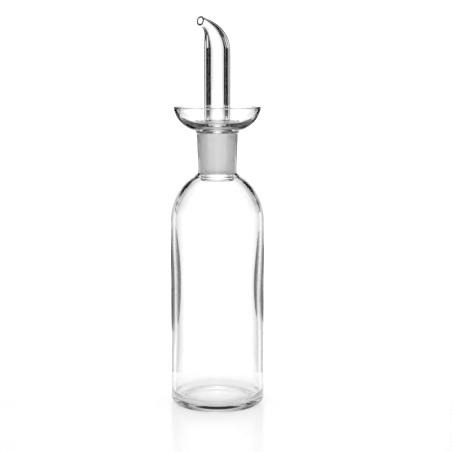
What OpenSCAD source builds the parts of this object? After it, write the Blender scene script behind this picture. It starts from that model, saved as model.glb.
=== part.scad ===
// Glass oil bottle with a lift-out pourer, in millimetres.
// +Z is up, the origin is the centre of the base, and the spout pours towards -Y.
// The bottle and the pourer meet in a ground glass taper, and all other joints are fused glass.

/* [Bottle] */
// Outer diameter of the body
body_d = 60; // [54:1:64]
// Height at which the straight wall ends and the shoulder begins
body_h = 118; // [90:1:160]
// Thickness of the blown wall
wall = 2.4; // [1.8:0.1:2.8]
// Height of the domed shoulder, if it ran on to the axis
shoulder_rise = 34.5; // [32:0.5:38]
// Outer radius of the rounded heel
heel_r = 4; // [3:0.5:5]
// Thickness of the glass in the middle of the base
base_t = 3; // [2:0.5:4]
// How far the middle of the base is pushed up
pushup = 2.2; // [1:0.1:3]

/* [Ground joint] */
// Bore at the wide end of the taper
taper_d = 24; // [23.5:0.1:24.5]
// Length of the ground zone
taper_l = 25; // [22:1:29]
// Lengths of taper for each unit that its diameter grows
taper_ratio = 10; // [9:1:12]
// Gap between the cone and the socket, measured on the radius
joint_gap = 0.05; // [0.02:0.01:0.1]
// Wall thickness of the hollow cone
cone_wall = 1.8; // [1.5:0.1:2.2]
// How far the cone reaches below the socket's ground zone
cone_tail = 5.5; // [2:0.5:6]

/* [Drip cup] */
// Outer radius of the cup at its rim
cup_r = 27.6; // [27:0.1:29]
// Radius of the arc that the underside follows
cup_arc_r = 18.4; // [17.5:0.1:19]
// Thickness of the rim
rim_t = 1.9; // [1.6:0.1:2.2]
// Height of the cup's floor above the top of the socket
floor_rise = 5.5; // [5:0.1:6]

/* [Spout] */
// Outer diameter of the tube
tube_d = 16.5; // [15:0.1:18]
// Bore of the tube
tube_bore = 11.2; // [9:0.1:12]
// Length of the straight tube above the cup's floor
tube_l = 46; // [30:0.5:60]
// Radius of the bend, on the tube's centre line
bend_r = 18.4; // [17:0.1:24]
// Angle of the bend, from straight up
bend_angle = 80; // [60:1:85]
// Outer diameter of the mouth
mouth_d = 6; // [5:0.1:8]
// Bore of the mouth
mouth_bore = 3.8; // [3:0.1:4.5]

/* [Hidden] */
$fn = 96;

body_r = body_d / 2;
inner_r = body_r - wall;
inner_rise = shoulder_rise - wall;      // rise of the shoulder's inner ellipse
inner_heel_r = heel_r + 2;              // rounding between the wall and the floor inside
rest_out = body_r - heel_r;             // outer edge of the ring that the bottle stands on
rest_in = rest_out - 3.5;               // inner edge of that ring
floor_flat_r = inner_r - inner_heel_r;  // where the domed inner floor ends
floor_drop = 1.8;                       // the inner floor's middle above its edge

neck_r = 12.35;                         // outside of the neck where it leaves the shoulder
neck_waist_r = 12.25;                   // narrowest outside radius, just above the shoulder
neck_top_r = 13.05;                     // outside of the neck at its rim
neck_rim_r = 0.5;                       // rounding of the rim
neck_z = body_h + shoulder_rise - 2.5;  // weld between the body and the socket
socket_z = neck_z + taper_l;            // top of the socket
shoulder_end = acos(14.7 / body_r);     // where the shoulder's ellipse gives way to the neck's fillet
inner_end = acos(12.5 / inner_r);       // the same for the inner ellipse

function bore_r(z) = taper_d / 2 - (socket_z - z) / (2 * taper_ratio);
function cone_r(z) = bore_r(z) - joint_gap;

hub_gap = 0.4;                          // between the socket's rim and the pourer's hub
hub_z = socket_z + hub_gap;             // weld between the cone and the cup
cone_end_z = neck_z - cone_tail;        // lower end of the cone
cone_end_r = cone_wall / 2;             // rounding of the cone's lower edge

floor_z = socket_z + floor_rise;        // inside floor of the cup, where the tube is fused
hub_r = 13.5;                           // underside of the hub, next to the socket's rim
cup_arc_end = 77.5;                     // slope of the cup's wall at the rim, in degrees
cup_arc_x = cup_r - cup_arc_r * sin(cup_arc_end);
cup_arc_z = socket_z + 1.1 + cup_arc_r;
cup_arc_start = 16.3;                   // slope of the underside where it leaves the hub
rim_r = rim_t / 2;
rim_x = cup_r - rim_r * sin(cup_arc_end);
rim_z = cup_arc_z - (cup_arc_r - rim_r) * cos(cup_arc_end);
inlet_edge = 0.8;                       // rounding of the lower end of the tube's bore
inlet_rise = 1.6;                       // height of the dome that leads the oil to it
bowl_flat_r = 13;                       // the floor is flat as far as this radius
bowl_end = 80;                          // where the bowl's inner ellipse meets the rim
bowl_x = rim_x - rim_r * sin(cup_arc_end);
bowl_z = rim_z + rim_r * cos(cup_arc_end);
bowl_a = (bowl_x - bowl_flat_r) / sin(bowl_end);
bowl_b = (bowl_z - floor_z) / (1 - cos(bowl_end));

bend_z = floor_z + tube_l;              // where the tube begins to bend
bend_rings = 28;                        // rings along the bend
tube_sides = 40;                        // sides of each ring
taper_start = 2.4;                      // a larger value keeps the tube wide for longer
taper_end = 3.3;                        // a larger value draws the mouth out longer

// Points on an ellipse about [x, z], from angle a0 to a1 above +X
function ellipse(x, z, a, b, a0, a1, n = 16) =
    [for (i = [0:n]) let (t = a0 + (a1 - a0) * i / n) [x + a * cos(t), z + b * sin(t)]];

// Points on a circle about [x, z]
function arc(x, z, r, a0, a1, n = 8) = ellipse(x, z, r, r, a0, a1, n);

// A curve from p0 to p2 that leaves and arrives along the lines to p1
function fillet(p0, p1, p2, n = 6) =
    [for (i = [0:n]) let (t = i / n) (1 - t) * (1 - t) * p0 + 2 * t * (1 - t) * p1 + t * t * p2];

// A shallow dome over the base, rise high at the axis and zero at radius r
function dome(r, z, rise, n = 8) =
    [for (i = [0:n]) let (t = i / n) [r * t, z + rise * (1 - t * t)]];

// The list in the opposite order
function reversed(list) = [for (i = [len(list) - 1:-1:0]) list[i]];

// The blown vessel: a straight wall, a domed shoulder and a pushed-up base
module bottle_body() {
    outside = concat(
        dome(rest_in, 0, pushup),
        arc(rest_out, heel_r, heel_r, -90, 0),
        ellipse(0, body_h, body_r, shoulder_rise, 0, shoulder_end),
        fillet([14.7, body_h + shoulder_rise * sin(shoulder_end)], [neck_r, neck_z - 0.8], [neck_r, neck_z]));
    inside = concat(
        dome(floor_flat_r, base_t + pushup - floor_drop, floor_drop),
        arc(floor_flat_r, base_t + pushup - floor_drop + inner_heel_r, inner_heel_r, -90, 0),
        ellipse(0, body_h, inner_r, inner_rise, 0, inner_end),
        fillet([12.5, body_h + inner_rise * sin(inner_end)],
               [bore_r(neck_z), neck_z - 1.8], [bore_r(neck_z), neck_z]));
    color("azure", 0.4) rotate_extrude() polygon(concat(outside, reversed(inside)));
}

// The female half of the ground joint, fused to the shoulder
module neck_socket() {
    rim_in = bore_r(socket_z - neck_rim_r);
    color("gainsboro", 0.7) rotate_extrude() polygon(concat(
        [[bore_r(neck_z), neck_z], [neck_r, neck_z], [neck_waist_r, neck_z + 2]],
        arc(neck_top_r - neck_rim_r, socket_z - neck_rim_r, neck_rim_r, 0, 90, 4),
        [[rim_in + neck_rim_r / 2, socket_z], [rim_in, socket_z - neck_rim_r]]));
}

// The male half of the ground joint: a hollow cone that is open at both ends
module ground_cone() {
    edge_z = cone_end_z + cone_end_r;
    color("gainsboro", 0.7) rotate_extrude() polygon(concat(
        arc(cone_r(edge_z) - cone_end_r, edge_z, cone_end_r, -180, 0),
        [[cone_r(hub_z), hub_z], [cone_r(hub_z) - cone_wall, hub_z]]));
}

// The saucer round the spout, with the hub that closes the cone in to the tube's bore
module drip_cup() {
    bore = tube_bore / 2;
    inlet_r = cone_r(hub_z) - cone_wall;
    hub = fillet([hub_r, hub_z], [hub_r + 0.4, hub_z + 1.1],
                 [cup_arc_x + cup_arc_r * sin(cup_arc_start), cup_arc_z - cup_arc_r * cos(cup_arc_start)]);
    underside = arc(cup_arc_x, cup_arc_z, cup_arc_r, cup_arc_start - 90, cup_arc_end - 90, 16);
    rim = arc(rim_x, rim_z, rim_r, cup_arc_end - 90, cup_arc_end + 90);
    bowl = ellipse(bowl_flat_r, floor_z + bowl_b, bowl_a, bowl_b, bowl_end - 90, -90);
    edge = bore + inlet_edge;
    inlet = concat(arc(edge, hub_z + inlet_rise + inlet_edge, inlet_edge, 180, 270, 4),
                   ellipse(edge, hub_z, inlet_r - edge, inlet_rise, 90, 0));
    color("azure", 0.4) rotate_extrude()
        polygon(concat(hub, underside, rim, bowl, [[bore, floor_z]], inlet));
}

// How far along the bend each ring stands, from 0 at its start to 1 at the mouth; the foot is at -1
stations = concat([-1], [for (i = [0:bend_rings]) i / bend_rings]);

// Slope of the tube's centre line at a station, and the point that it passes through
function slope(t) = bend_angle * max(t, 0);
function centre(t) = t < 0 ? [0, 0, floor_z]
    : [0, -bend_r * (1 - cos(slope(t))), bend_z + bend_r * sin(slope(t))];

// A radius that is drawn down along the bend from that of a bore or tube to that of the mouth
function drawn(wide, narrow, t) =
    (narrow + (wide - narrow) * pow(1 - pow(max(t, 0), taper_start), taper_end)) / 2;

// One ring of points at right angles to the centre line
function ring(t, r) = [for (k = [0:tube_sides - 1]) let (w = 360 * k / tube_sides, a = slope(t))
    centre(t) + [r * cos(w), r * sin(w) * cos(a), r * sin(w) * sin(a)]];

// The pouring tube, straight up from the cup's floor, then bent over and drawn down to the mouth.
// Its outer and inner walls are closed by a flat ring at the foot and at the mouth.
module spout_tube() {
    n = tube_sides;
    last = (bend_rings + 1) * n;
    walls = last + n;
    outer = [for (t = stations) each ring(t, drawn(tube_d, mouth_d, t))];
    inner = [for (t = stations) each ring(t, drawn(tube_bore, mouth_bore, t))];
    sides = [for (i = [0:bend_rings], k = [0:n - 1]) let (a = i * n + k, b = i * n + (k + 1) % n)
        [a, a + n, b + n, b]];
    bores = [for (f = sides) [walls + f[3], walls + f[2], walls + f[1], walls + f[0]]];
    foot = [for (k = [0:n - 1]) let (b = (k + 1) % n) [k, b, walls + b, walls + k]];
    mouth = [for (k = [0:n - 1]) let (b = (k + 1) % n)
        [last + b, last + k, walls + last + k, walls + last + b]];
    color("azure", 0.4) polyhedron(concat(outer, inner), concat(sides, bores, foot, mouth));
}

bottle_body();
neck_socket();
ground_cone();
drip_cup();
spout_tube();
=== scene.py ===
"""A glass oil bottle with a lift-out pourer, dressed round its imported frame.

The object is two loose pieces of lampworked glass. The bottle is a blown vessel with a ground socket for
a neck. The pourer is a ground cone, a saucer and a bent, drawn-out tube. Each named piece is one closed
skin: a profile of radius and distance that is carried round a straight or a bent centre line. Where two
pieces are fused, both end in the same ring of faces, which lets light through unbent, so the glass reads
as one body.

Clear glass shows only what stands round it, so the script also sets up a small studio: a white tent, black
velvet flags, a white table and a camera.

Lengths are in metres, in the frame's own axes: +Z up, and the spout pours towards -Y.
"""

import logging
import math
from collections.abc import Callable, Mapping
from dataclasses import dataclass
from enum import Enum

import bpy
import numpy as np
from mathutils import Matrix, Vector


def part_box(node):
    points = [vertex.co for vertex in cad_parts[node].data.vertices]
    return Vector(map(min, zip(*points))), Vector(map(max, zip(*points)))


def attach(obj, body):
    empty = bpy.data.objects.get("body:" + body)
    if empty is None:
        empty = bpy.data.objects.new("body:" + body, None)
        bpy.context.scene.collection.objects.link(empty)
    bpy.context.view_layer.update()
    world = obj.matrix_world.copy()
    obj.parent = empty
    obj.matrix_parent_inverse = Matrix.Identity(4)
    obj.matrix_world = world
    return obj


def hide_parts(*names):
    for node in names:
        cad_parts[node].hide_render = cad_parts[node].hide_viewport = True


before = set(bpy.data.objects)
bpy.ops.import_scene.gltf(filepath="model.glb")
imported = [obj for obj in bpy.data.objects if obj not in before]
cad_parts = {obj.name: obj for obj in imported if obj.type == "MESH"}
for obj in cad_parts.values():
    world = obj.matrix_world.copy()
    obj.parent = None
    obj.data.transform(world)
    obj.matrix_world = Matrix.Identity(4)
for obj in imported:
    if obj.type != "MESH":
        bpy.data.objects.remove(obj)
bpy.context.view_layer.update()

LOG = logging.getLogger("oil_bottle")
MM = 0.001
SEGMENTS = 192       # faces round each skin
SAME_POINT = 1e-7    # two points of a profile that are closer than this are one
ON_AXIS = 1e-9       # a profile whose end is closer to the axis than this ends in a pole

Point = tuple[float, float]    # radius and distance along the centre line
Span = tuple[float, float]     # where something starts and where it is complete
Ripple = Callable[[np.ndarray, np.ndarray, np.ndarray], np.ndarray]


class Glass(Enum):
    """What a band of faces is: the value is its place among a piece's material slots."""

    CLEAR = 0
    GROUND = 1
    FUSED = 2


# ---------------------------------------------------------------- curves and skins


def ellipse(centre: Point, radii: Point, start: float, end: float, count: int) -> np.ndarray:
    """Points on an ellipse: centre + (a cos t, b sin t), with t in even steps.

    Args:
        centre: Radius and distance of the ellipse's middle.
        radii: Its half-widths a and b.
        start: First angle in degrees, from the direction of growing radius.
        end: Last angle in degrees.
        count: Number of points.

    Returns:
        An array of (radius, distance) rows.
    """
    t = np.radians(np.linspace(start, end, count))
    return np.stack([centre[0] + radii[0] * np.cos(t), centre[1] + radii[1] * np.sin(t)], 1)


def line(start: Point, end: Point, count: int) -> np.ndarray:
    """Points on a straight line: (1-t) A + t B, with t in even steps.

    Args:
        start: The first point, A.
        end: The last point, B.
        count: Number of points.

    Returns:
        An array of (radius, distance) rows.
    """
    t = np.linspace(0.0, 1.0, count)[:, None]
    return (1 - t) * np.array(start) + t * np.array(end)


def fillet(start: Point, corner: Point, end: Point, count: int) -> np.ndarray:
    """A parabola from A to C whose tangents there meet in B: (1-t)^2 A + 2t(1-t) B + t^2 C.

    Args:
        start: The first point, A.
        corner: Where the tangents meet, B.
        end: The last point, C.
        count: Number of points.

    Returns:
        An array of (radius, distance) rows.
    """
    t = np.linspace(0.0, 1.0, count)[:, None]
    a, b, c = (np.array(p) for p in (start, corner, end))
    return (1 - t) ** 2 * a + 2 * t * (1 - t) * b + t ** 2 * c


def dome(radius: float, foot: float, rise: float, count: int) -> np.ndarray:
    """Points on a shallow dome, from the axis outwards: foot + rise (1 - t^2) at a radius of t times its own.

    Args:
        radius: The dome's radius.
        foot: Height of its edge.
        rise: How far its middle is above its edge.
        count: Number of points.

    Returns:
        An array of (radius, distance) rows.
    """
    t = np.linspace(0.0, 1.0, count)
    return np.stack([radius * t, foot + rise * (1 - t ** 2)], 1)


def ramp(value: np.ndarray, span: Span) -> np.ndarray:
    """A share that is 0 where the span starts and 1 where it is complete, and level beyond.

    Args:
        value: The values to look up.
        span: Its start and its end, in either order.

    Returns:
        The share for each value.
    """
    return np.clip((value - span[0]) / (span[1] - span[0]), 0, 1)


@dataclass(frozen=True)
class Stretch:
    """Part of a profile: its points, in order, and the glass of the faces that follow them."""

    points: np.ndarray
    glass: Glass = Glass.CLEAR


def weld(start: Point, end: Point) -> Stretch:
    """The band of faces straight across the wall where two pieces are fused.

    Args:
        start: Its first point.
        end: Its last point.

    Returns:
        The stretch.
    """
    return Stretch(line(start, end, 2), Glass.FUSED)


@dataclass(frozen=True)
class CentreLine:
    """A centre line that goes straight up the Z axis and may then bend towards -Y in an arc.

    At distance s past the bend's start, the line has turned by a = s / radius, so its point is
    (0, -radius (1 - cos a), start + radius sin a).
    """

    bend_start: float = math.inf
    bend_radius: float = 1.0

    def turned(self, distance: np.ndarray) -> np.ndarray:
        """The angle by which the line has turned: a = (s - bend_start) / radius, and 0 before the bend.

        Args:
            distance: Distances along the line.

        Returns:
            The angles in radians.
        """
        return np.maximum(distance - self.bend_start, 0.0) / self.bend_radius

    def points(self, distance: np.ndarray) -> np.ndarray:
        """The line's points, by the formula above.

        Args:
            distance: Distances along the line.

        Returns:
            An array of (x, y, z) rows.
        """
        a = self.turned(distance)
        up = np.minimum(distance, self.bend_start) + self.bend_radius * np.sin(a)
        return np.stack([np.zeros_like(a), -self.bend_radius * (1 - np.cos(a)), up], -1)

    def across(self, distance: np.ndarray) -> np.ndarray:
        """The unit vector at right angles to the line in the plane of the bend: (0, cos a, sin a).

        Args:
            distance: Distances along the line.

        Returns:
            An array of (x, y, z) rows.
        """
        a = self.turned(distance)
        return np.stack([np.zeros_like(a), np.cos(a), np.sin(a)], -1)


def carry(profile: np.ndarray, path: CentreLine, ripple: Ripple | None) -> np.ndarray:
    """Carries a profile round a centre line: C(s) + r (cos w X + sin w N(s)), with w once round.

    Args:
        profile: Rows of (radius, distance along the line).
        path: The centre line.
        ripple: A function of the radius, the distance and w that returns the radius to use, or None.

    Returns:
        The skin's points, as rows of rings.
    """
    w = np.linspace(0.0, 2 * math.pi, SEGMENTS, endpoint=False)[None, :]
    r, s = profile[:, :1], profile[:, 1:]
    radius = np.broadcast_to(r, (len(profile), SEGMENTS)) if ripple is None else ripple(r, s, w)
    sideways = np.cos(w)[..., None] * np.array([1.0, 0.0, 0.0])
    inwards = np.sin(w)[..., None] * path.across(profile[:, 1])[:, None, :]
    return path.points(profile[:, 1])[:, None, :] + radius[..., None] * (sideways + inwards)


def joined(stretches: list[Stretch]) -> tuple[np.ndarray, np.ndarray]:
    """Joins stretches into one profile, dropping each point that repeats the one before it.

    Args:
        stretches: The stretches, in order.

    Returns:
        The profile's points, and for each point the glass value of the faces that follow it.
    """
    points = np.concatenate([s.points for s in stretches])
    glass = np.concatenate([np.full(len(s.points), s.glass.value) for s in stretches])
    last = np.cumsum([len(s.points) for s in stretches]) - 1
    glass[last[:-1]] = [s.glass.value for s in stretches[1:]]
    apart = np.linalg.norm(np.diff(points, axis=0), axis=1) > SAME_POINT
    keep = np.concatenate([[True], apart])
    first_of_pair = np.flatnonzero(~apart)
    glass[first_of_pair] = glass[first_of_pair + 1]
    return points[keep], glass[keep]


@dataclass(frozen=True)
class Shell:
    """A closed skin as arrays: quads between its rings, and a fan at each pole if it has poles.

    The glass is that of every quad and then of every fan face. The edges of sharp_rings are sharp.
    """

    vertices: np.ndarray
    quads: np.ndarray
    fans: np.ndarray
    glass: np.ndarray
    sharp_rings: np.ndarray

    @classmethod
    def around(cls, stretches: list[Stretch], path: CentreLine, ripple: Ripple | None) -> "Shell":
        """Carries a profile round its centre line and closes the skin.

        A profile that starts and ends on the axis is closed by a fan at each pole, and any other is closed
        by a band from its last ring to its first.

        Args:
            stretches: The profile, with the glass always on its left-hand side.
            path: The centre line.
            ripple: As in carry.

        Returns:
            The closed skin.
        """
        profile, glass = joined(stretches)
        to_poles = profile[0, 0] < ON_AXIS and profile[-1, 0] < ON_AXIS
        ends = slice(1, -1) if to_poles else slice(None)
        rings, ring_glass = profile[ends], glass[ends]
        count = len(rings)
        bands = count - 1 if to_poles else count
        i, j = np.arange(bands)[:, None], np.arange(SEGMENTS)[None, :]
        above, beside = (i + 1) % count, (j + 1) % SEGMENTS
        quads = np.stack([i * SEGMENTS + j, i * SEGMENTS + beside,
                          above * SEGMENTS + beside, above * SEGMENTS + j], -1).reshape(-1, 4)
        vertices = carry(rings, path, ripple).reshape(-1, 3)
        fans, fan_glass = np.zeros((0, 3), int), np.zeros(0, int)
        if to_poles:
            start, end, last = len(vertices), len(vertices) + 1, (count - 1) * SEGMENTS
            vertices = np.concatenate([vertices, path.points(profile[[0, -1], 1])])
            ring = np.arange(SEGMENTS)
            following = (ring + 1) % SEGMENTS
            fans = np.concatenate([
                np.stack([np.full(SEGMENTS, start), following, ring], 1),
                np.stack([np.full(SEGMENTS, end), last + ring, last + following], 1)])
            fan_glass = np.repeat([glass[0], ring_glass[-1]], SEGMENTS)
        face_glass = np.concatenate([np.repeat(ring_glass[:bands], SEGMENTS), fan_glass])
        fused = np.flatnonzero(ring_glass == Glass.FUSED.value)
        return cls(vertices, quads, fans, face_glass, np.union1d(fused, (fused + 1) % count))

    def mesh(self, name: str) -> bpy.types.Mesh:
        """Writes the arrays into a mesh that is smooth but for its sharp rings.

        Args:
            name: The mesh's name.

        Returns:
            The mesh.
        """
        mesh = bpy.data.meshes.new(name)
        mesh.vertices.add(len(self.vertices))
        mesh.vertices.foreach_set("co", self.vertices.astype(np.float32).ravel())
        loops = np.concatenate([self.quads.ravel(), self.fans.ravel()]).astype(np.int32)
        mesh.loops.add(len(loops))
        mesh.loops.foreach_set("vertex_index", loops)
        totals = np.repeat([4, 3], [len(self.quads), len(self.fans)]).astype(np.int32)
        mesh.polygons.add(len(totals))
        mesh.polygons.foreach_set("loop_start", (np.cumsum(totals) - totals).astype(np.int32))
        mesh.polygons.foreach_set("material_index", self.glass.astype(np.int32))
        mesh.update(calc_edges=True)
        mesh.polygons.foreach_set("use_smooth", np.ones(len(totals), bool))
        ends = np.zeros(len(mesh.edges) * 2, np.int32)
        mesh.edges.foreach_get("vertices", ends)
        a, b = ends.reshape(-1, 2).T // SEGMENTS
        sharp = mesh.attributes.new("sharp_edge", "BOOLEAN", "EDGE")
        sharp.data.foreach_set("value", (a == b) & np.isin(a, self.sharp_rings))
        return mesh


def skin(name: str, stretches: list[Stretch], path: CentreLine, body: str, nodes: list[str],
         ripple: Ripple | None = None) -> bpy.types.Object:
    """Makes one closed piece from a profile, hides the nodes that it replaces and puts it in its body.

    Args:
        name: The piece's name.
        stretches: The profile, with the glass always on its left-hand side.
        path: The centre line that it's carried round.
        body: The body that the piece moves with.
        nodes: The nodes that it replaces.
        ripple: As in carry.

    Returns:
        The new object.
    """
    piece = bpy.data.objects.new(name, Shell.around(stretches, path, ripple).mesh(name))
    bpy.context.scene.collection.objects.link(piece)
    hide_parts(*nodes)
    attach(piece, body)
    LOG.info("%s: %d faces", name, len(piece.data.polygons))
    return piece


# ---------------------------------------------------------------- finishes


def linear(code: str) -> tuple[float, float, float, float]:
    """Turns an sRGB colour into a linear one: c / 12.92 when dark, ((c + 0.055) / 1.055)^2.4 when not.

    Args:
        code: A hex code such as "#f4f6f5".

    Returns:
        Linear red, green and blue, and an alpha of 1.
    """
    parts = [int(code[n:n + 2], 16) / 255 for n in (1, 3, 5)]
    return *[c / 12.92 if c <= 0.04045 else ((c + 0.055) / 1.055) ** 2.4 for c in parts], 1.0


def add(tree: bpy.types.NodeTree, kind: str, settings: Mapping | None = None,
        inputs: Mapping | None = None) -> bpy.types.Node:
    """Adds a node, sets its properties, and sets or links its inputs.

    Args:
        tree: The node tree.
        kind: The node's type.
        settings: Its properties by name.
        inputs: Its inputs by name or number: a value, or a socket to link from.

    Returns:
        The new node.
    """
    node = tree.nodes.new(kind)
    for key, value in (settings or {}).items():
        setattr(node, key, value)
    for key, value in (inputs or {}).items():
        if isinstance(value, bpy.types.NodeSocket):
            tree.links.new(value, node.inputs[key])
        else:
            node.inputs[key].default_value = value
    return node


def new_material(name: str) -> tuple[bpy.types.Material, bpy.types.NodeTree]:
    """Makes an empty node material.

    Args:
        name: The material's name.

    Returns:
        The material and its node tree.
    """
    material = bpy.data.materials.new(name)
    material.use_nodes = True
    material.node_tree.nodes.clear()
    return material, material.node_tree


@dataclass(frozen=True)
class ClearGlass:
    """Borosilicate glass, drawn and fire-polished: colourless, with faint cords along the draw."""

    name: str = "clear_borosilicate_fire_polished"
    tint: str = "#fefefe"
    ior: float = 1.47
    cord_width: float = 9 * MM
    cord_stretch: float = 0.18
    cord_depth: float = 0.008 * MM

    def material(self) -> bpy.types.Material:
        """Builds the material: smooth glass whose surface has long, shallow cords from the drawing."""
        material, tree = new_material(self.name)
        place = add(tree, "ShaderNodeTexCoord")
        along = add(tree, "ShaderNodeMapping", inputs={
            "Vector": place.outputs["Object"], "Scale": (1.0, 1.0, self.cord_stretch)})
        cords = add(tree, "ShaderNodeTexNoise", inputs={
            "Vector": along.outputs["Vector"], "Scale": 1 / self.cord_width, "Detail": 1.0})
        bump = add(tree, "ShaderNodeBump", inputs={
            "Height": cords.outputs["Fac"], "Strength": 1.0, "Distance": self.cord_depth})
        glass = add(tree, "ShaderNodeBsdfPrincipled", inputs={
            "Base Color": linear(self.tint), "Transmission Weight": 1.0, "Roughness": 0.0, "IOR": self.ior,
            "Normal": bump.outputs["Normal"]})
        add(tree, "ShaderNodeOutputMaterial", inputs={"Surface": glass.outputs[0]})
        return material


@dataclass(frozen=True)
class GroundGlass:
    """Borosilicate glass ground with fine grit: white and matt, and part of the light never gets through."""

    name: str = "ground_borosilicate_fine_grit"
    tint: str = "#fefefe"
    ior: float = 1.47
    clear_share: float = 0.93
    roughness: float = 0.38
    roughness_spread: float = 0.08
    patch: float = 6 * MM
    grit: float = 0.5 * MM    # the real grit is about 0.05 mm, drawn coarser so that it shows
    grit_depth: float = 0.01 * MM

    def material(self) -> bpy.types.Material:
        """Builds the material: rough glass, a little uneven, with a fine grain."""
        material, tree = new_material(self.name)
        place = add(tree, "ShaderNodeTexCoord")
        patches = add(tree, "ShaderNodeTexNoise", inputs={
            "Vector": place.outputs["Object"], "Scale": 1 / self.patch, "Detail": 2.0})
        rough = add(tree, "ShaderNodeMapRange", inputs={
            "Value": patches.outputs["Fac"], "To Min": self.roughness - self.roughness_spread,
            "To Max": self.roughness + self.roughness_spread})
        grain = add(tree, "ShaderNodeTexNoise", inputs={
            "Vector": place.outputs["Object"], "Scale": 1 / self.grit, "Detail": 2.0})
        bump = add(tree, "ShaderNodeBump", inputs={
            "Height": grain.outputs["Fac"], "Strength": 1.0, "Distance": self.grit_depth})
        glass = add(tree, "ShaderNodeBsdfPrincipled", inputs={
            "Base Color": linear(self.tint), "Transmission Weight": self.clear_share, "IOR": self.ior,
            "Roughness": rough.outputs["Result"], "Normal": bump.outputs["Normal"]})
        add(tree, "ShaderNodeOutputMaterial", inputs={"Surface": glass.outputs[0]})
        return material


@dataclass(frozen=True)
class FusedSeam:
    """Where two pieces of glass are melted into one, there is no surface left to see."""

    name: str = "fused_seam"

    def material(self) -> bpy.types.Material:
        """Builds the material: a surface that lets everything through."""
        material, tree = new_material(self.name)
        seam = add(tree, "ShaderNodeBsdfPrincipled", inputs={"Alpha": 0.0})
        add(tree, "ShaderNodeOutputMaterial", inputs={"Surface": seam.outputs[0]})
        return material


@dataclass(frozen=True)
class Acrylic:
    """The table: white cast acrylic with a soft gloss. Its even glow is painted light: an emission that
    stands in for a faint light from below and lifts the shade under the bottle.
    """

    name: str = "white_cast_acrylic"
    colour: str = "#dcdcdc"
    roughness: float = 0.22
    roughness_spread: float = 0.02
    haze: float = 60 * MM
    # painted light: how strongly the table glows with its own colour, standing in for a faint light from
    # below
    glow: float = 0.48

    def material(self) -> bpy.types.Material:
        """Builds the material: a pale sheet whose gloss varies a little over a hand's width, with an even
        glow of painted light.
        """
        material, tree = new_material(self.name)
        place = add(tree, "ShaderNodeTexCoord")
        patches = add(tree, "ShaderNodeTexNoise", inputs={
            "Vector": place.outputs["Object"], "Scale": 1 / self.haze, "Detail": 1.0})
        rough = add(tree, "ShaderNodeMapRange", inputs={
            "Value": patches.outputs["Fac"], "To Min": self.roughness - self.roughness_spread,
            "To Max": self.roughness + self.roughness_spread})
        # painted light: the sheet emits its own colour evenly, which lifts the shade under the bottle
        sheet = add(tree, "ShaderNodeBsdfPrincipled", inputs={
            "Base Color": linear(self.colour), "Roughness": rough.outputs["Result"],
            "Emission Color": linear(self.colour), "Emission Strength": self.glow})
        add(tree, "ShaderNodeOutputMaterial", inputs={"Surface": sheet.outputs[0]})
        return material


@dataclass(frozen=True)
class Velvet:
    """The flags: black velvet that only sharp rays meet, so that clear glass alone has dark edges."""

    name: str = "black_velvet"
    colour: str = "#050505"

    def material(self) -> bpy.types.Material:
        """Builds the material: a cloth that returns next to no light."""
        material, tree = new_material(self.name)
        ray = add(tree, "ShaderNodeLightPath")
        open_air = add(tree, "ShaderNodeBsdfTransparent")
        cloth = add(tree, "ShaderNodeBsdfDiffuse", inputs={"Color": linear(self.colour)})
        seen = add(tree, "ShaderNodeMixShader", inputs={
            0: ray.outputs["Is Singular Ray"], 1: open_air.outputs[0], 2: cloth.outputs[0]})
        add(tree, "ShaderNodeOutputMaterial", inputs={"Surface": seen.outputs[0]})
        return material


class Finishes:
    """The three finishes that every piece carries, in the order of Glass."""

    def __init__(self) -> None:
        """Builds each material once."""
        self.materials = [ClearGlass().material(), GroundGlass().material(), FusedSeam().material()]

    def dress(self, piece: bpy.types.Object) -> None:
        """Gives a piece its material slots.

        Args:
            piece: The piece.
        """
        for material in self.materials:
            piece.data.materials.append(material)


# ---------------------------------------------------------------- the bottle


@dataclass(frozen=True)
class Joint:
    """The ground taper that bottle and pourer share: 1 in 10, widest at the socket's rim."""

    low: float
    high: float
    wide_r: float = 12.0 * MM
    slope: float = 1 / 20
    gap: float = 0.05 * MM

    @classmethod
    def from_frame(cls) -> "Joint":
        """Reads the socket's ends from the frame.

        Returns:
            The joint.
        """
        low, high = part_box("neck_socket")
        return cls(low.z, high.z)

    def bore(self, z: float) -> float:
        """The socket's radius at a height: wide_r - (high - z) slope.

        Args:
            z: The height.

        Returns:
            The radius.
        """
        return self.wide_r - (self.high - z) * self.slope

    def cone(self, z: float) -> float:
        """The cone's radius at a height, which is the socket's less the gap.

        Args:
            z: The height.

        Returns:
            The radius.
        """
        return self.bore(z) - self.gap


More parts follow.
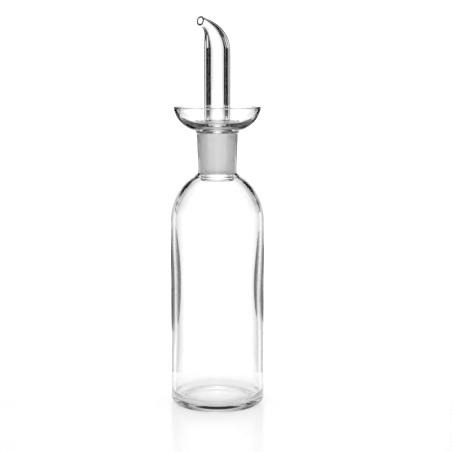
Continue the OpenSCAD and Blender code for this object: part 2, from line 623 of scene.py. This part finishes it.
@dataclass
class Bottle:
    """The blown vessel and the ground socket that is fused to it."""

    finishes: Finishes
    joint: Joint
    wall: float = 2.4 * MM
    heel_r: float = 4.0 * MM
    heel_extra: float = 2.0 * MM      # the heel is rounder inside by this much
    rest_width: float = 3.5 * MM
    pushup: float = 2.2 * MM
    base_t: float = 3.0 * MM
    floor_drop: float = 1.8 * MM
    shoulder_z: float = 118.0 * MM
    shoulder_rise: float = 34.5 * MM
    neck_r: float = 12.35 * MM
    waist_r: float = 12.25 * MM
    waist_bend: float = 1.0 * MM
    waist_rise: float = 2.2 * MM
    neck_start_r: float = 14.7 * MM   # where the shoulder turns up into the neck, outside
    neck_end_r: float = 12.5 * MM     # the same inside
    weld_bend: float = 0.8 * MM       # how far under the weld the two tangents meet, outside
    weld_bend_in: float = 1.8 * MM    # the same inside
    rim_round: float = 0.5 * MM
    lobes: int = 4
    lobe_turn: float = 222.0
    lobe_size: float = 0.2 * MM
    lobe_z: float = 72.0 * MM
    lobe_spread: float = 28.0 * MM
    thinner: float = 0.35 * MM
    thinner_z: Span = (80 * MM, 115 * MM)
    waves: tuple[tuple[int, float, float, float], ...] = (
        (3, 61 * MM, 0.03 * MM, 0.7), (5, 37 * MM, 0.015 * MM, 2.1))    # n, L, size and phase of each
    floor_fade: Span = (8 * MM, 22 * MM)
    neck_fade: Span = (142 * MM, 122 * MM)
    depth_fade: Span = (0.4, 0.9)     # in wall thicknesses below the outer skin

    def __post_init__(self) -> None:
        """Takes the outer sizes from the frame."""
        self.body_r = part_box("bottle_body")[1].x
        self.top_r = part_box("neck_socket")[1].x

    def uneven(self, r: np.ndarray, z: np.ndarray, w: np.ndarray) -> np.ndarray:
        """Blown glass is uneven inside: thicker along four faint ridges, and thinner near the shoulder.

        The inner radius loses size exp(-((z - z0) / spread)^2) cos(4 (w - w0)), gains thinner s^2 (3 - 2 s)
        with s the share of the way up, and gains waves size sin(n w + 2 pi z / L + phase). All of it fades
        out towards the floor and the neck, and the outer skin stays true.

        Args:
            r: The radius of each ring.
            z: Its height.
            w: The angles round it.

        Returns:
            The radius at each ring and angle.
        """
        depth = (self.body_r - r) / self.wall
        inside = ramp(depth, self.depth_fade) * (r > self.body_r / 2)
        fade = ramp(z, self.floor_fade) * ramp(z, self.neck_fade)
        ridge = self.lobe_size * np.exp(-((z - self.lobe_z) / self.lobe_spread) ** 2)
        ridge = ridge * np.cos(self.lobes * (w - math.radians(self.lobe_turn)))
        s = ramp(z, self.thinner_z)
        wave = sum(size * np.sin(n * w + 2 * math.pi * z / length + phase)
                   for n, length, size, phase in self.waves)
        return r + inside * fade * (self.thinner * s ** 2 * (3 - 2 * s) - ridge + wave)

    def build_body(self) -> None:
        """The vessel: pushed-up base, heel, straight wall and elliptical shoulder, then back down inside."""
        rest_out = self.body_r - self.heel_r
        rest_in = rest_out - self.rest_width
        inner_r = self.body_r - self.wall
        inner_heel = self.heel_r + self.heel_extra
        flat_r = inner_r - inner_heel
        floor_z = self.base_t + self.pushup - self.floor_drop
        inner_rise = self.shoulder_rise - self.wall
        top = self.joint.low
        bore = self.joint.bore(top)
        stop = math.degrees(math.acos(self.neck_start_r / self.body_r))
        inner_stop = math.degrees(math.acos(self.neck_end_r / inner_r))
        shoulder = ellipse((0, self.shoulder_z), (self.body_r, self.shoulder_rise), 0, stop, 64)
        inner_shoulder = ellipse((0, self.shoulder_z), (inner_r, inner_rise), inner_stop, 0, 64)
        outside = [
            Stretch(dome(rest_in, 0.0, self.pushup, 24)),
            Stretch(line((rest_in, 0), (rest_out, 0), 6)),
            Stretch(ellipse((rest_out, self.heel_r), (self.heel_r, self.heel_r), -90, 0, 24)),
            Stretch(line((self.body_r, self.heel_r), (self.body_r, self.shoulder_z), 40)),
            Stretch(shoulder),
            Stretch(fillet(tuple(shoulder[-1]), (self.neck_r, top - self.weld_bend), (self.neck_r, top), 14)),
        ]
        inside = [
            Stretch(fillet((bore, top), (bore, top - self.weld_bend_in), tuple(inner_shoulder[0]), 14)),
            Stretch(inner_shoulder),
            Stretch(line((inner_r, self.shoulder_z), (inner_r, floor_z + inner_heel), 60)),
            Stretch(ellipse((flat_r, floor_z + inner_heel), (inner_heel, inner_heel), 0, -90, 24)),
            Stretch(dome(flat_r, floor_z, self.floor_drop, 24)[::-1]),
        ]
        stretches = outside + [weld((self.neck_r, top), (bore, top))] + inside
        self.finishes.dress(skin(
            "bottle_body_blown", stretches, CentreLine(), "bottle", ["bottle_body"],
            self.uneven))

    def build_socket(self) -> None:
        """The socket: clear outside and at the rim, ground inside."""
        low, high, rim, bore = self.joint.low, self.joint.high, self.rim_round, self.joint.bore
        waist = (self.waist_r, low + self.waist_rise)
        stretches = [
            Stretch(fillet((self.neck_r, low), (self.neck_r, low + self.waist_bend), waist, 10)),
            Stretch(line(waist, (self.top_r, high - rim), 30)),
            Stretch(ellipse((self.top_r - rim, high - rim), (rim, rim), 0, 90, 8)),
            Stretch(fillet((self.top_r - rim, high), (bore(high), high), (bore(high - rim), high - rim), 8)),
            Stretch(line((bore(high - rim), high - rim), (bore(low), low), 40), Glass.GROUND),
            weld((bore(low), low), (self.neck_r, low)),
        ]
        self.finishes.dress(skin(
            "neck_socket_ground", stretches, CentreLine(), "bottle", ["neck_socket"]))


# ---------------------------------------------------------------- the pourer


@dataclass
class Pourer:
    """The ground cone, the saucer and the bent tube, fused into one loose piece."""

    finishes: Finishes
    joint: Joint
    cone_wall: float = 1.8 * MM
    hub_r: float = 13.5 * MM
    hub_flare: float = 0.4 * MM       # where the tangents of the hub's foot meet, outwards
    hub_bend: float = 1.1 * MM        # the same upwards
    cup_r: float = 27.6 * MM
    cup_arc_r: float = 18.4 * MM
    cup_arc_start: float = 16.3
    cup_arc_end: float = 77.5
    cup_low: float = 1.1 * MM
    rim_r: float = 0.95 * MM
    bowl_flat_r: float = 13.0 * MM
    bowl_end: float = 80.0
    bore_r: float = 5.6 * MM
    inlet_edge: float = 0.8 * MM
    inlet_rise: float = 1.6 * MM
    foot_r: float = 1.0 * MM
    straight: float = 46.0 * MM
    bend_r: float = 18.4 * MM
    bend_angle: float = 80.0
    mouth_r: float = 3.0 * MM
    mouth_bore_r: float = 1.9 * MM
    bend_rings: int = 160
    taper_start: float = 2.4          # p in the taper's formula
    taper_end: float = 3.3            # q in the taper's formula

    def __post_init__(self) -> None:
        """Takes the sizes that the frame holds."""
        self.hub_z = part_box("ground_cone")[1].z
        self.cone_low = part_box("ground_cone")[0].z
        self.floor_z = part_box("spout_tube")[0].z
        self.tube_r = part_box("spout_tube")[1].x
        self.bend_start = self.floor_z + self.straight

    def build_cone(self) -> None:
        """The cone: ground where it sits in the socket, clear at its lower edge and inside."""
        edge, low, hub_z, cone = self.cone_wall / 2, self.joint.low, self.hub_z, self.joint.cone
        bottom = self.cone_low + edge
        top_inside = (cone(hub_z) - self.cone_wall, hub_z)
        stretches = [
            Stretch(ellipse((cone(bottom) - edge, bottom), (edge, edge), -180, 0, 20)),
            Stretch(line((cone(bottom), bottom), (cone(low), low), 8)),
            Stretch(line((cone(low), low), (cone(hub_z), hub_z), 40), Glass.GROUND),
            weld((cone(hub_z), hub_z), top_inside),
            Stretch(line(top_inside, (cone(bottom) - self.cone_wall, bottom), 30)),
        ]
        self.finishes.dress(skin(
            "ground_cone_hollow", stretches, CentreLine(), "pourer", ["ground_cone"]))

    def build_cup(self) -> None:
        """The saucer: a hub over the cone, an arc underneath, a rounded rim and an elliptical bowl."""
        hub_z, floor_z, edge = self.hub_z, self.floor_z, self.inlet_edge
        cone_top = self.joint.cone(hub_z)
        inlet_r = cone_top - self.cone_wall
        inlet_z = hub_z + self.inlet_rise
        arc_r, start, end = self.cup_arc_r, math.radians(self.cup_arc_start), math.radians(self.cup_arc_end)
        arc_x = self.cup_r - arc_r * math.sin(end)
        arc_z = self.joint.high + self.cup_low + arc_r
        hub_end = (arc_x + arc_r * math.sin(start), arc_z - arc_r * math.cos(start))
        rim_x = arc_x + (arc_r - self.rim_r) * math.sin(end)
        rim_z = arc_z - (arc_r - self.rim_r) * math.cos(end)
        bowl_x = rim_x - self.rim_r * math.sin(end)
        bowl_z = rim_z + self.rim_r * math.cos(end)
        bowl_a = (bowl_x - self.bowl_flat_r) / math.sin(math.radians(self.bowl_end))
        bowl_b = (bowl_z - floor_z) / (1 - math.cos(math.radians(self.bowl_end)))
        foot = self.tube_r + self.foot_r
        hub_corner = (self.hub_r + self.hub_flare, hub_z + self.hub_bend)
        under, over = self.cup_arc_end - 90, self.cup_arc_end + 90
        bowl = ((self.bowl_flat_r, floor_z + bowl_b), (bowl_a, bowl_b))
        inlet = ((self.bore_r + edge, hub_z), (inlet_r - self.bore_r - edge, self.inlet_rise))
        stretches = [
            Stretch(line((cone_top, hub_z), (self.hub_r, hub_z), 4)),
            Stretch(fillet((self.hub_r, hub_z), hub_corner, hub_end, 12)),
            Stretch(ellipse((arc_x, arc_z), (arc_r, arc_r), self.cup_arc_start - 90, under, 40)),
            Stretch(ellipse((rim_x, rim_z), (self.rim_r, self.rim_r), under, over, 20)),
            Stretch(ellipse(*bowl, self.bowl_end - 90, -90, 40)),
            Stretch(line((self.bowl_flat_r, floor_z), (foot, floor_z), 6)),
            weld((foot, floor_z), (self.bore_r, floor_z)),
            Stretch(line((self.bore_r, floor_z), (self.bore_r, inlet_z + edge), 6)),
            Stretch(ellipse((self.bore_r + edge, inlet_z + edge), (edge, edge), 180, 270, 8)),
            Stretch(ellipse(*inlet, 90, 0, 16)),
            weld((inlet_r, hub_z), (cone_top, hub_z)),
        ]
        self.finishes.dress(skin(
            "drip_cup_saucer", stretches, CentreLine(), "pourer", ["drip_cup"]))

    def drawn(self, wide: float, narrow: float) -> np.ndarray:
        """A wall along the bend, drawn down as narrow + (wide - narrow) (1 - t^p)^q, with t along the bend.

        Args:
            wide: Its radius where the bend starts.
            narrow: Its radius at the mouth.

        Returns:
            An array of (radius, distance) rows.
        """
        t = np.linspace(0, 1, self.bend_rings)
        r = narrow + (wide - narrow) * (1 - t ** self.taper_start) ** self.taper_end
        return np.stack([r, self.bend_start + t * self.bend_r * math.radians(self.bend_angle)], 1)

    def build_spout(self) -> None:
        """The tube: a small fillet at the foot, straight up, then bent and drawn down to a rounded lip."""
        outer, inner = self.drawn(self.tube_r, self.mouth_r), self.drawn(self.bore_r, self.mouth_bore_r)
        lip_r = (self.mouth_r - self.mouth_bore_r) / 2
        end, foot = outer[-1, 1], self.floor_z
        foot_edge, foot_top = (self.tube_r + self.foot_r, foot), (self.tube_r, foot + self.foot_r)
        stretches = [
            Stretch(fillet(foot_edge, (self.tube_r, foot), foot_top, 8)),
            Stretch(line(foot_top, (self.tube_r, self.bend_start), 30)),
            Stretch(outer),
            Stretch(ellipse((self.mouth_bore_r + lip_r, end), (lip_r, lip_r), 0, 180, 14)),
            Stretch(inner[::-1]),
            Stretch(line((self.bore_r, self.bend_start), (self.bore_r, foot), 30)),
            weld((self.bore_r, foot), foot_edge),
        ]
        self.finishes.dress(skin(
            "spout_tube_drawn", stretches, CentreLine(self.bend_start, self.bend_r), "pourer",
            ["spout_tube"]))


# ---------------------------------------------------------------- the studio


@dataclass(frozen=True)
class Flag:
    """An upright, curved flag: a piece of a cylinder round the bottle, square or oval when rolled flat.

    Its ends are angles in degrees, seen from above, away from the direction straight behind the bottle. Then
    come its distance from the bottle, and the heights of its lower and upper edge.
    """

    start: float
    end: float
    away: float
    low: float
    high: float
    oval: bool = False
    steps: int = 25
    oval_reach: float = 0.995    # h stops short of 1, so that the last row still has some width

    def grid(self, behind: float) -> np.ndarray:
        """Points on the flag. At a height h from -1 to 1 its half-width is 1, or sqrt(1 - h^2) if it's oval.

        Args:
            behind: The direction straight behind the bottle, in degrees.

        Returns:
            An array of (x, y, z), as rows from the lower edge to the upper one.
        """
        h = np.linspace(-1, 1, self.steps)[:, None]
        half = np.sqrt(1 - (self.oval_reach * h) ** 2) if self.oval else np.ones_like(h)
        middle, reach = (self.start + self.end) / 2, (self.end - self.start) / 2
        side = np.linspace(-1, 1, self.steps)[None, :]
        turn = np.radians(behind + middle + reach * half * side)
        height = np.broadcast_to((self.low + self.high) / 2 + (self.high - self.low) / 2 * h, turn.shape)
        return np.stack([self.away * np.sin(turn), -self.away * np.cos(turn), height], -1)


@dataclass
class Studio:
    """A pale table in a white tent, black flags out of the camera's sight, and the camera."""

    panels: int = 8
    panel_light: float = 1.25
    seam_light: float = 0.5
    table_r: float = 0.2
    table_forward: float = 0.13
    table_lift: float = 0.05 * MM
    table_hole: float = 0.2 * MM
    table_rings: int = 9
    table_sides: int = 96
    flags: tuple[Flag, ...] = (
        Flag(17, 38, 0.1, 0.19, 0.4),                 # the tube's bands, from the camera's left
        Flag(26, 56, 0.1, 0.15, 0.19),                # the shoulder's edge and the saucer's rim
        Flag(36, 58, 0.8, 0.16, 0.265),
        Flag(36, 58, 0.8, 0.36, 1.1),
        Flag(56, 118, 0.16, 0.155, 0.5),              # the tube's bands again, from further round
        Flag(118, 160, 0.16, 0.2, 0.5),
        Flag(-34, -17, 0.1, 0.19, 0.4),               # and the same six from its right
        Flag(-52, -26, 0.1, 0.15, 0.19),
        Flag(-52, -32, 0.8, 0.16, 0.265),
        Flag(-52, -32, 0.8, 0.36, 1.1),
        Flag(-118, -50, 0.16, 0.155, 0.5),
        Flag(-160, -118, 0.16, 0.2, 0.5),
        Flag(18, 36, 0.22, 0.001, 0.084, oval=True),  # the dark streaks along the body
        Flag(-29, -18, 0.22, 0.008, 0.08, oval=True),
    )
    camera_azimuth: float = 42.0
    camera_reach: float = 0.6868
    camera_height: float = 0.2138
    camera_aside: float = 5.5 * MM
    camera_pitch: float = 8.14
    focal: float = 86.03

    def build_light(self) -> None:
        """A round white tent of even panels: light = mid + half cos(panels (turn - behind)).

        Each panel is brightest in its middle, and one of them stands straight behind the bottle. The camera
        itself sees an even white.
        """
        world = bpy.data.worlds.new("white_tent")
        world.use_nodes = True
        tree = world.node_tree
        tree.nodes.clear()
        place = add(tree, "ShaderNodeTexCoord")
        parts = add(tree, "ShaderNodeSeparateXYZ", inputs={0: place.outputs["Generated"]})
        turn = add(tree, "ShaderNodeMath", {"operation": "ARCTAN2"},
                   {0: parts.outputs["Y"], 1: parts.outputs["X"]})
        phase = -self.panels * math.radians(self.camera_azimuth + 90)
        along = add(tree, "ShaderNodeMath", {"operation": "MULTIPLY_ADD"},
                    {0: turn.outputs[0], 1: float(self.panels), 2: phase})
        wave = add(tree, "ShaderNodeMath", {"operation": "COSINE"}, {0: along.outputs[0]})
        cloth = add(tree, "ShaderNodeMapRange", inputs={
            "Value": wave.outputs[0], "From Min": -1.0,
            "To Min": self.seam_light, "To Max": self.panel_light})
        ray = add(tree, "ShaderNodeLightPath")
        plain = add(tree, "ShaderNodeMath", {"operation": "MULTIPLY"},
                    {0: ray.outputs["Is Camera Ray"], 1: self.panel_light})
        light = add(tree, "ShaderNodeMath", {"operation": "MAXIMUM"},
                    {0: cloth.outputs[0], 1: plain.outputs[0]})
        glow = add(tree, "ShaderNodeBackground", inputs={"Color": (1, 1, 1, 1), "Strength": light.outputs[0]})
        add(tree, "ShaderNodeOutputWorld", inputs={"Surface": glow.outputs[0]})
        bpy.context.scene.world = world
        bpy.context.scene.view_settings.view_transform = "Standard"

    def sheet(self, name: str, points: np.ndarray, material: bpy.types.Material) -> bpy.types.Object:
        """Makes a sheet from a grid of points.

        Args:
            name: Its name.
            points: Its points, as rows of (x, y, z).
            material: Its material.

        Returns:
            The new object.
        """
        rows, columns = points.shape[:2]
        i, j = np.meshgrid(np.arange(rows - 1), np.arange(columns - 1), indexing="ij")
        first = (i * columns + j).ravel()
        faces = np.stack([first, first + 1, first + columns + 1, first + columns], 1)
        mesh = bpy.data.meshes.new(name)
        mesh.from_pydata(points.reshape(-1, 3).tolist(), [], faces.tolist())
        mesh.materials.append(material)
        item = bpy.data.objects.new(name, mesh)
        bpy.context.scene.collection.objects.link(item)
        return item

    def build_table(self) -> None:
        """The round table top. It lies a hair above the base's ring, as if a film of water joined the two."""
        turn, away = np.meshgrid(np.linspace(0, 2 * math.pi, self.table_sides + 1),
                                 np.linspace(self.table_hole, self.table_r, self.table_rings))
        ahead = math.radians(self.camera_azimuth)
        x, y = self.table_forward * math.sin(ahead), -self.table_forward * math.cos(ahead)
        points = [x + away * np.cos(turn), y + away * np.sin(turn), np.full_like(turn, self.table_lift)]
        self.sheet("table", np.stack(points, -1), Acrylic().material())

    def build_flags(self) -> None:
        """Black velvet that only clear glass sees: it casts no shade on the table."""
        velvet = Velvet().material()
        for number, flag in enumerate(self.flags):
            item = self.sheet(f"flag_{number}", flag.grid(self.camera_azimuth + 180), velvet)
            item.visible_camera = False
            item.visible_diffuse = False
            item.visible_shadow = False

    def build_camera(self) -> None:
        """A long lens, a little above the saucer, looking down past the spout's left side."""
        turn, tilt = math.radians(self.camera_azimuth), math.radians(self.camera_pitch)
        back = Vector((math.sin(turn), -math.cos(turn), 0))
        right = Vector((math.cos(turn), math.sin(turn), 0))
        look = -back * math.cos(tilt) - Vector((0, 0, math.sin(tilt)))
        data = bpy.data.cameras.new("camera")
        data.lens = self.focal
        camera = bpy.data.objects.new("camera", data)
        bpy.context.scene.collection.objects.link(camera)
        place = back * self.camera_reach + right * self.camera_aside + Vector((0, 0, self.camera_height))
        camera.matrix_world = Matrix.Translation(place) @ look.to_track_quat("-Z", "Y").to_matrix().to_4x4()
        bpy.context.scene.camera = camera

    def build(self) -> None:
        """Sets up everything that isn't the object."""
        self.build_camera()
        self.build_light()
        self.build_table()
        self.build_flags()


def main() -> None:
    """Builds the studio and the two glass pieces."""
    logging.basicConfig(level=logging.INFO, format="%(name)s: %(message)s")
    Studio().build()
    finishes, joint = Finishes(), Joint.from_frame()
    bottle, pourer = Bottle(finishes, joint), Pourer(finishes, joint)
    bottle.build_body()
    bottle.build_socket()
    pourer.build_cone()
    pourer.build_cup()
    pourer.build_spout()


if __name__ == "__main__":
    main()
